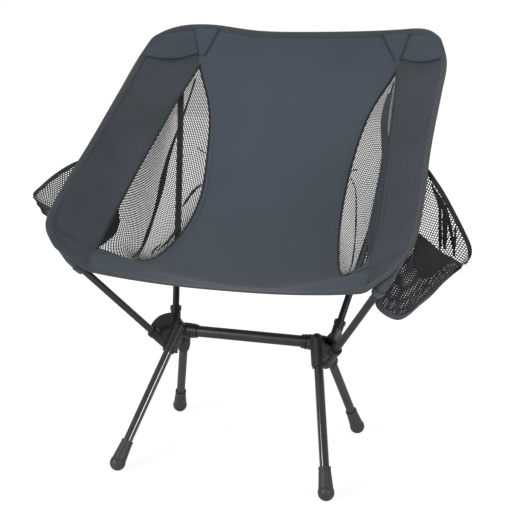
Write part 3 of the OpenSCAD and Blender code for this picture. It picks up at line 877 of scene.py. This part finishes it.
def corner_seams(side):
    """The seams that meet at the tip of the leaf, and those of the front corner."""
    t = np.linspace(0, 1, 30)
    near_tip = 7 / 8 + 0.02 + 0.09 * t
    # Each end: its cloth, and the surface, places, width and lift of each seam.
    seams = {
        "rear": (SEAM_SHADE, [
            (centre, 0.945 - 0.2 * t**0.9, near_tip, 3.2, 1.6),
            (centre, 0.995, near_tip, 3.2, 1.6),
            (strip, 0.93 * t, ear_seam_v(0.93 * t), 3.2, 1.0),
        ]),
        "front": (FABRIC_SIDE, [
            (strip, 0.02 + 0.88 * t, 1 / 7, 2.4, 0.35),
            (centre, 0.997, 0.02 + (1 / 8 - 0.02) * t, 2.4, 0.35),
        ]),
    }
    for end, (cloth, lines) in seams.items():
        build, thread = Build(), Build()
        for surface, us, vs, seam_w, lift in lines:
            seam_line(surface, us, vs, build, thread, seam_w, lift)
        add_piece(f"corner_seams_{end}", build, cloth, side, end, "sling_fabric")
        add_piece(f"corner_stitches_{end}", thread, BLACK_THREAD, side, end, "sling_fabric")


def leaf_hems(side, end):
    """The turned hem of the fabric along both sides of the leaf, with its stitches."""
    thread = Build()
    inner, outer, bottom = leaf_sides(end)
    seat_paths = [inner, bottom] if end == "front" else [inner]
    for name, cloth, paths, sign in (("seat", FABRIC, seat_paths, -1), ("side", FABRIC_SIDE, [outer], 1)):
        build = Build()
        for path, normal in paths:
            ribbon(path, normal, 7.0, 0.6, build, offset=sign * 4.0, lift=0.4)
            stitches(path, normal, thread, offset=sign * 5.6, lift=0.8, width=0.6)
        add_piece(f"leaf_hem_{name}_{end}", build, cloth, side, end, "sling_fabric")
    add_piece(f"leaf_stitches_{end}", thread, BLACK_THREAD, side, end, "sling_fabric")


# ---- corner pockets ----
def pole_end(node):
    """The tip of a seat pole and the way it points, from its CAD plug, on the right-hand side."""
    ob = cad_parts[node]
    co = np.array([v.co for v in ob.data.vertices], float) / MM
    co[:, 1] -= BAR_Y
    mid = co.mean(axis=0)
    axis = np.linalg.svd(co - mid, full_matrices=False)[2][0]
    axis = axis * np.sign(axis[2])
    reach = (co - mid) @ axis
    return mid + axis * reach.max(), axis


def strip_bvh():
    v, u = np.meshgrid(np.linspace(0, 1, 121), np.linspace(0, 1, 25), indexing="ij")
    points = [tuple(p) for p in strip(u, v).reshape(-1, 3)]
    return BVHTree.FromPolygons(points, grid_faces(*u.shape))


STRIP_TREE = strip_bvh()


def behind_sling(points, gap):
    """Moves points that stand in front of the side strip to just behind it."""
    out = points.copy()
    for k, p in enumerate(points):
        spot, normal, _, _ = STRIP_TREE.find_nearest(Vector(p))
        depth = (Vector(p) - spot).dot(normal)
        if depth > -gap:
            out[k] = np.array(spot - normal * gap)
    return out


def circles(tip, axis, across, rings, count):
    """Points of rings (height, radius) round the axis of a pole, measured from its tip."""
    other = np.cross(axis, across)
    return np.array([
        tip + axis * height + r * (across * math.cos(turn) + other * math.sin(turn))
        for height, r in rings for turn in np.linspace(0, 2 * np.pi, count, endpoint=False)
    ])


def pocket_shell(corners, tip, axis, pole_r, depth):
    """A soft closed sock from the corners of the sling down over the end of the pole."""
    rings = [(-depth, pole_r), (-depth * 0.5, pole_r + 0.8), (-2, pole_r + 0.4), (2.2, pole_r * 0.55)]
    sock = circles(tip, axis, unit(np.cross(axis, [0, 0, 1])), rings, 20)
    return shrink_wrapped([*sock, *corners])


def shrink_wrapped(points):
    """A soft closed skin round the points: their convex hull, remeshed and smoothed."""
    bm = bmesh.new()
    for p in points:
        bm.verts.new(p)
    bmesh.ops.convex_hull(bm, input=bm.verts)
    spare = [v for v in bm.verts if not v.link_faces]
    bmesh.ops.delete(bm, geom=spare, context="VERTS")
    mesh = bpy.data.meshes.new("sock")
    bm.to_mesh(mesh)
    bm.free()
    ob = bpy.data.objects.new("sock", mesh)
    bpy.context.scene.collection.objects.link(ob)
    remesh = ob.modifiers.new("remesh", "REMESH")
    remesh.mode = "VOXEL"
    remesh.voxel_size = 2.4
    soften = ob.modifiers.new("soften", "SMOOTH")
    soften.factor = 0.5
    soften.iterations = 6
    made = bpy.data.meshes.new_from_object(ob.evaluated_get(bpy.context.evaluated_depsgraph_get()))
    points = np.array([v.co for v in made.vertices], float)
    faces = [tuple(f.vertices) for f in made.polygons]
    bpy.data.objects.remove(ob)
    bpy.data.meshes.remove(made)
    return points, faces


# Each end: where its corner pocket is sewn to the side strip, as (u, v) spots, and the sock's radius and
# depth over the pole.
CORNERS = {
    "front": ([(0.25, 0.03), (0.6, 0.03), (0.93, 0.04), (0.93, 0.13), (0.5, 0.12), (0.2, 0.1)], 8.0, 26.0),
    "rear": (
        [(0.1, 0.965), (0.5, 0.965), (0.92, 0.965), (0.92, 0.87), (0.5, 0.865), (0.12, 0.875)], 10.0, 34.0,
    ),
}
BOOT_T = 0.8


def corner_pocket(side, end):
    """The sock that takes the pole's end."""
    spots, radius, depth = CORNERS[end]
    u, v = (np.array(values) for values in zip(*spots))
    corners = strip(u, v) - 2.5 * surface_normal(strip, u, v)
    tip, axis = pole_end(f"{end}_pole_tip_right")
    across = unit(np.cross(axis, [0, 1, 0]))
    build = Build()
    points, faces = pocket_shell(corners, tip, axis, radius, depth)
    points = behind_sling(points, 1.6)
    build.add(points, faces, np.stack([points @ across, points @ axis], axis=1))
    kind = f"corner_pocket_{end}"
    add_piece(kind, build, FABRIC_BACK, side, end, "sling_fabric", f"{kind}_{side}")


def corner_boot(side, end):
    """The webbing boot round the pole, below the sock."""
    _, radius, depth = CORNERS[end]
    tip, axis = pole_end(f"{end}_pole_tip_right")
    across = unit(np.cross(axis, [0, 1, 0]))
    boot = Build()
    rings = [(-depth - 5, 7.0), (-depth - 5, 8.2), (-depth + 3, radius + 1.2), (-depth + 8, radius + 1.4)]
    count = 32
    points = circles(tip, axis, across, rings, count)
    turns = np.linspace(0, 2 * np.pi, count, endpoint=False)
    cloth = np.array([(turn * r, height) for height, r in rings for turn in turns])
    normals = unit(points - (tip + np.outer((points - tip) @ axis, axis)))
    thicken(points, normals, grid_faces(len(rings), count, ring=True), BOOT_T, cloth, boot)
    add_piece(f"corner_boot_{end}", boot, BOOT_WEB, side, end, "binding_tape")


# ---- side pockets ----
# Each bag has two walls between its rims and the seam along its bottom; all of them meet at the bag's
# outer corner. Each line runs from behind the sling's edge to that corner.
POCKETS = {
    "right": {
        "far_rim": [(262, 10, 461), (277, -17, 450), (295, -28, 428), (313, -38, 401), (329, -50, 376),
                    (338, -57, 358), (337, -61, 345), (328, -62, 335)],
        "near_rim": [(262, -92, 386), (280, -88, 372), (300, -77, 353), (315, -70, 344), (328, -62, 335)],
        "seam": [(231, -96, 305), (219, -92, 291), (217, -90, 276), (229, -86, 263), (245, -80, 256),
                 (259, -78, 263), (274, -74, 278), (289, -70, 292), (303, -66, 309), (317, -63, 323),
                 (328, -62, 335)],
        "belly": 12, "far_thread": 1.25, "near_thread": 2.45, "near_rim_w": 6.0, "edge_w": 10.0,
    },
    "left": {
        "far_rim": [(260, 8, 455), (274, -16, 450), (291, -27, 441), (310, -38, 427), (328, -48, 410),
                    (336, -54, 401), (335, -56, 396)],
        "near_rim": [(258, -84, 386), (283, -86, 386), (306, -74, 388), (321, -66, 392), (335, -56, 396)],
        "seam": [(236, -92, 344), (252, -88, 344), (270, -84, 352), (288, -78, 364), (303, -76, 377),
                 (318, -68, 388), (335, -56, 396)],
        "belly": 7, "far_thread": 1.7, "near_thread": 2.15, "near_rim_w": 3.4, "edge_w": 3.4,
    },
}

# Where the loose net of the open pocket folds on itself: (u, v) spots on its far wall, and a width.
POCKET_FOLDS = [
    ([(0.05, 0.16), (0.09, 0.288), (0.22, 0.365), (0.40, 0.445)], 5.0),
    ([(0.06, 0.20), (0.075, 0.33), (0.155, 0.383), (0.33, 0.46)], 7.5),
    ([(0.045, 0.333), (0.135, 0.438), (0.305, 0.59)], 5.0),
    ([(0.06, 0.47), (0.10, 0.482), (0.20, 0.527), (0.32, 0.575)], 3.6),
]


def pocket_walls(shape):
    def wall(rim, way, swell):
        def surface(u, v):
            """v runs from the sling's edge to the outer corner, u from the rim down to the seam."""
            u, v = both(u, v)
            p = mix(spline(rim, v), spline(shape["seam"], v), u)
            bulge = swell * arch(u) * arch(v, 0.7)
            folds = 2.8 * np.sin(9 * v + 5 * u + swell) + 1.3 * np.sin(23 * v - 9 * u)
            return p + (bulge + folds * arch(u) * arch(v, 0.7))[..., None] * way
        return surface

    near = wall(shape["near_rim"], unit([0.35, -1, -0.1]), shape["belly"])
    far = wall(shape["far_rim"], unit([0.5, 1, 0.1]), shape["belly"] * 0.7)
    return near, far


def pocket_folds(near, far):
    """Folds of the loose net on the far wall, and the doubled cloth on the near wall."""
    folds = Build()
    for k, (spots, width) in enumerate(POCKET_FOLDS):
        path, normal = smooth_path(far, spots)
        ribbon(path, normal, pinched(len(path), width, 40 + k), 1.1, folds)

    def doubled(u, v):
        return near(0.02 + u * (0.10 + 0.27 * np.sin(np.pi * v) ** 1.5), 0.10 + 0.60 * v)

    lifted = raised(doubled, lambda u, v: 1.6 + 0 * u)
    grid_sheet(lifted, np.linspace(0, 1, 9), np.linspace(0.02, 0.98, 14), CLOTH_T, folds)
    return folds


def side_pocket(side):
    shape = POCKETS[side]
    near, far = pocket_walls(shape)
    along = np.linspace(0, 1, 60)
    net, tape, edge, thread = Build(), Build(), Build(), Build()
    net_sheet(far, 0.0, 0.975, net, thread=shape["far_thread"])
    net_sheet(near, 0.0, 0.975, net, thread=shape["near_thread"])
    add_piece("side_pocket_net", net, NET, side, "front", "mesh", f"side_pocket_{side}")
    rim = on_surface(far, 0, np.minimum(along, 0.97))
    ribbon(*rim, 7.0, 1.6, tape, offset=2.4)
    near_along = np.minimum(along, 0.985)
    ribbon(*on_surface(near, 0, near_along), shape["near_rim_w"], 1.6, tape, offset=1.0)
    node = f"pocket_rim_{side}"
    add_piece("side_pocket_rim", tape, POCKET_TAPE, side, "front", "elastic", node)
    edge_w = shape["edge_w"]
    ribbon(*on_surface(near, 1, near_along), edge_w, 1.8, edge, offset=-0.25 * edge_w)
    add_piece("side_pocket_edge", edge, POCKET_EDGE, side, "front", "elastic")
    if side == "right":
        add_piece("side_pocket_folds", pocket_folds(near, far), BLACK_TAPE, side, "front", "mesh")
    for face in (1, -1):
        stitches(*rim, thread, offset=4.6, lift=face * 0.9)
    add_piece("side_pocket_stitches", thread, BLACK_THREAD, side, "front", "elastic")


# ---- frame parts that keep their CAD shape ----
def dress_frame():
    """Materials of the tubes, hubs, pins, cords and feet."""
    legs = tube_material(
        "leg_tube", (0.004, 0.004, 0.005), (0.010, 0.010, 0.011), 0.15, 0.3, Coat_Weight=1, Coat_IOR=1.7,
    )
    # Painted light: the rear legs are the same tubes as the front legs, and this paler, rougher copy paints
    # how the light falls on them.
    rear_legs_painted_light = tube_material("rear_leg_tube_painted_light", (0.050, 0.051, 0.052), (0.076, 0.077, 0.078), 0.42, 0.5)
    poles = tube_material("pole_tube", (0.028, 0.030, 0.031), (0.044, 0.046, 0.047), 0.36, 0.5)
    bar = tube_material("crossbar_tube", (0.022, 0.022, 0.022), (0.036, 0.036, 0.035), 0.36, 0.3)
    nylon = plastic_material("hub_plastic", (0.010, 0.010, 0.011), (0.018, 0.018, 0.019), 0.38)
    rubber = plastic_material(
        "rubber_foot", (0.034, 0.034, 0.036), (0.046, 0.046, 0.049), 0.46,
        grain_mm=0.5, edge_mm=1.2, grain=0.2,
    )
    tip = plastic_material("tip_plastic", (0.015, 0.015, 0.016), (0.022, 0.022, 0.024), 0.5)
    steel = tube_material("steel_pin", (0.10, 0.10, 0.10), (0.16, 0.16, 0.16), 0.45, 1.0)
    cord = thread_material("shock_cord", (0.03, 0.03, 0.033))
    # The first word that is in a node's name chooses its material.
    by_word = {
        "cord": cord, "crossbar": bar, "collar": nylon, "hub_pins": steel, "hub": nylon,
        "leg_rear": rear_legs_painted_light, "leg": legs, "foot": rubber, "pole_tip": tip, "ferrule": steel, "pole": poles,
    }
    for name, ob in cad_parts.items():
        found = [material for word, material in by_word.items() if word in name]
        if found:
            ob.data.materials.clear()
            ob.data.materials.append(found[0])


# ---- stage ----
def mix_shaders(tree, share, first, second, output):
    """Shows the first shader, and the second one where share is 1."""
    blend = tree.nodes.new("ShaderNodeMixShader")
    tree.links.new(share, blend.inputs["Fac"])
    tree.links.new(first, blend.inputs[1])
    tree.links.new(second, blend.inputs[2])
    tree.links.new(blend.outputs["Shader"], tree.nodes[output].inputs["Surface"])


def floor_paper():
    """White paper: near the chair it takes soft shadows, further out it melts into the white behind,
    and anything but the camera sees it as a dull white."""
    n = Nodes("floor_paper")
    tone = n.noise(n.coordinates(), 3, 2)
    white = n.colours(tone, (0.90, 0.90, 0.90), (0.92, 0.92, 0.92))
    n.finish(Base_Color=white, Roughness=0.9, Specular_IOR_Level=0.1)
    length = n.new("ShaderNodeVectorMath", operation="LENGTH")
    n.feed(length.inputs[0], n.coordinates())
    away = length.outputs["Value"]
    fade = n.new("ShaderNodeMapRange", Value=away, From_Min=0.25, From_Max=0.75, To_Min=0.78, To_Max=1)
    fade.interpolation_type = "SMOOTHSTEP"
    glow = n.new("ShaderNodeEmission", Strength=1.12)
    path = n.new("ShaderNodeLightPath")
    share = n.math("MULTIPLY", fade.outputs["Result"], path.outputs["Is Camera Ray"])
    mix_shaders(n.tree, share, n.shader.outputs["BSDF"], glow.outputs["Emission"], "Material Output")
    return n.material


def put(name, data, at, way):
    """Adds a lamp or a camera that looks the given way."""
    ob = bpy.data.objects.new(name, data)
    ob.location = at
    ob.rotation_mode = "QUATERNION"
    ob.rotation_quaternion = way.to_track_quat("-Z", "Y")
    bpy.context.scene.collection.objects.link(ob)
    return ob


def studio_light():
    """White for the camera, a dim white room for everything else, and four soft boxes."""
    world = bpy.context.scene.world or bpy.data.worlds.new("studio")
    bpy.context.scene.world = world
    world.use_nodes = True
    tree = world.node_tree
    seen = tree.nodes["Background"]
    seen.inputs["Color"].default_value = (1, 1, 1, 1)
    room = tree.nodes.new("ShaderNodeBackground")
    room.inputs["Color"].default_value = (0.96, 0.98, 1, 1)
    room.inputs["Strength"].default_value = 0.44
    camera_ray = tree.nodes.new("ShaderNodeLightPath").outputs["Is Camera Ray"]
    mix_shaders(tree, camera_ray, room.outputs["Background"], seen.outputs["Background"], "World Output")
    # Name, place in metres, width in metres and power in watts.
    boxes = [
        ("key", (-1.4, -2.0, 1.3), 0.9, 33), ("fill", (1.9, -1.4, 0.9), 0.7, 16),
        ("top", (0.1, 0.5, 2.5), 1.0, 9), ("back", (0.9, 2.0, 1.2), 1.0, 8),
    ]
    for name, at, size, power in boxes:
        data = bpy.data.lights.new(name, "AREA")
        data.size = size
        data.energy = power
        put(name, data, at, Vector((0, 0, 0.35)) - Vector(at))
    bpy.context.scene.view_settings.view_transform = "Standard"


def stage():
    bpy.ops.mesh.primitive_plane_add(size=12, location=(0, 0, 0))
    floor = bpy.context.object
    floor.name = "floor"
    floor.data.materials.append(floor_paper())
    studio_light()


def camera():
    """A little above the seat and to the right of the chair's middle line."""
    azimuth, elevation, distance = math.radians(17.09), math.radians(13.61), 1.4203
    target = Vector((0.02228, BAR_Y * MM, 0.3026))
    level = math.cos(elevation)
    back = Vector((math.sin(azimuth) * level, -math.cos(azimuth) * level, math.sin(elevation)))
    data = bpy.data.cameras.new("camera")
    data.lens = 63.46
    data.sensor_width = 36
    bpy.context.scene.camera = put("camera", data, target + back * distance, -back)


# ---- the whole chair ----
for side in SIDES:
    for end in ENDS:
        for make in (
            centre_panel, side_strip, mesh_leaf, mesh_seams, leaf_hems, binding, corner_pocket, corner_boot,
        ):
            make(side, end)
    ear_patches(side)
    corner_seams(side)
    side_pocket(side)
leaf_flap()
leaf_backing()
dress_frame()
stage()
camera()
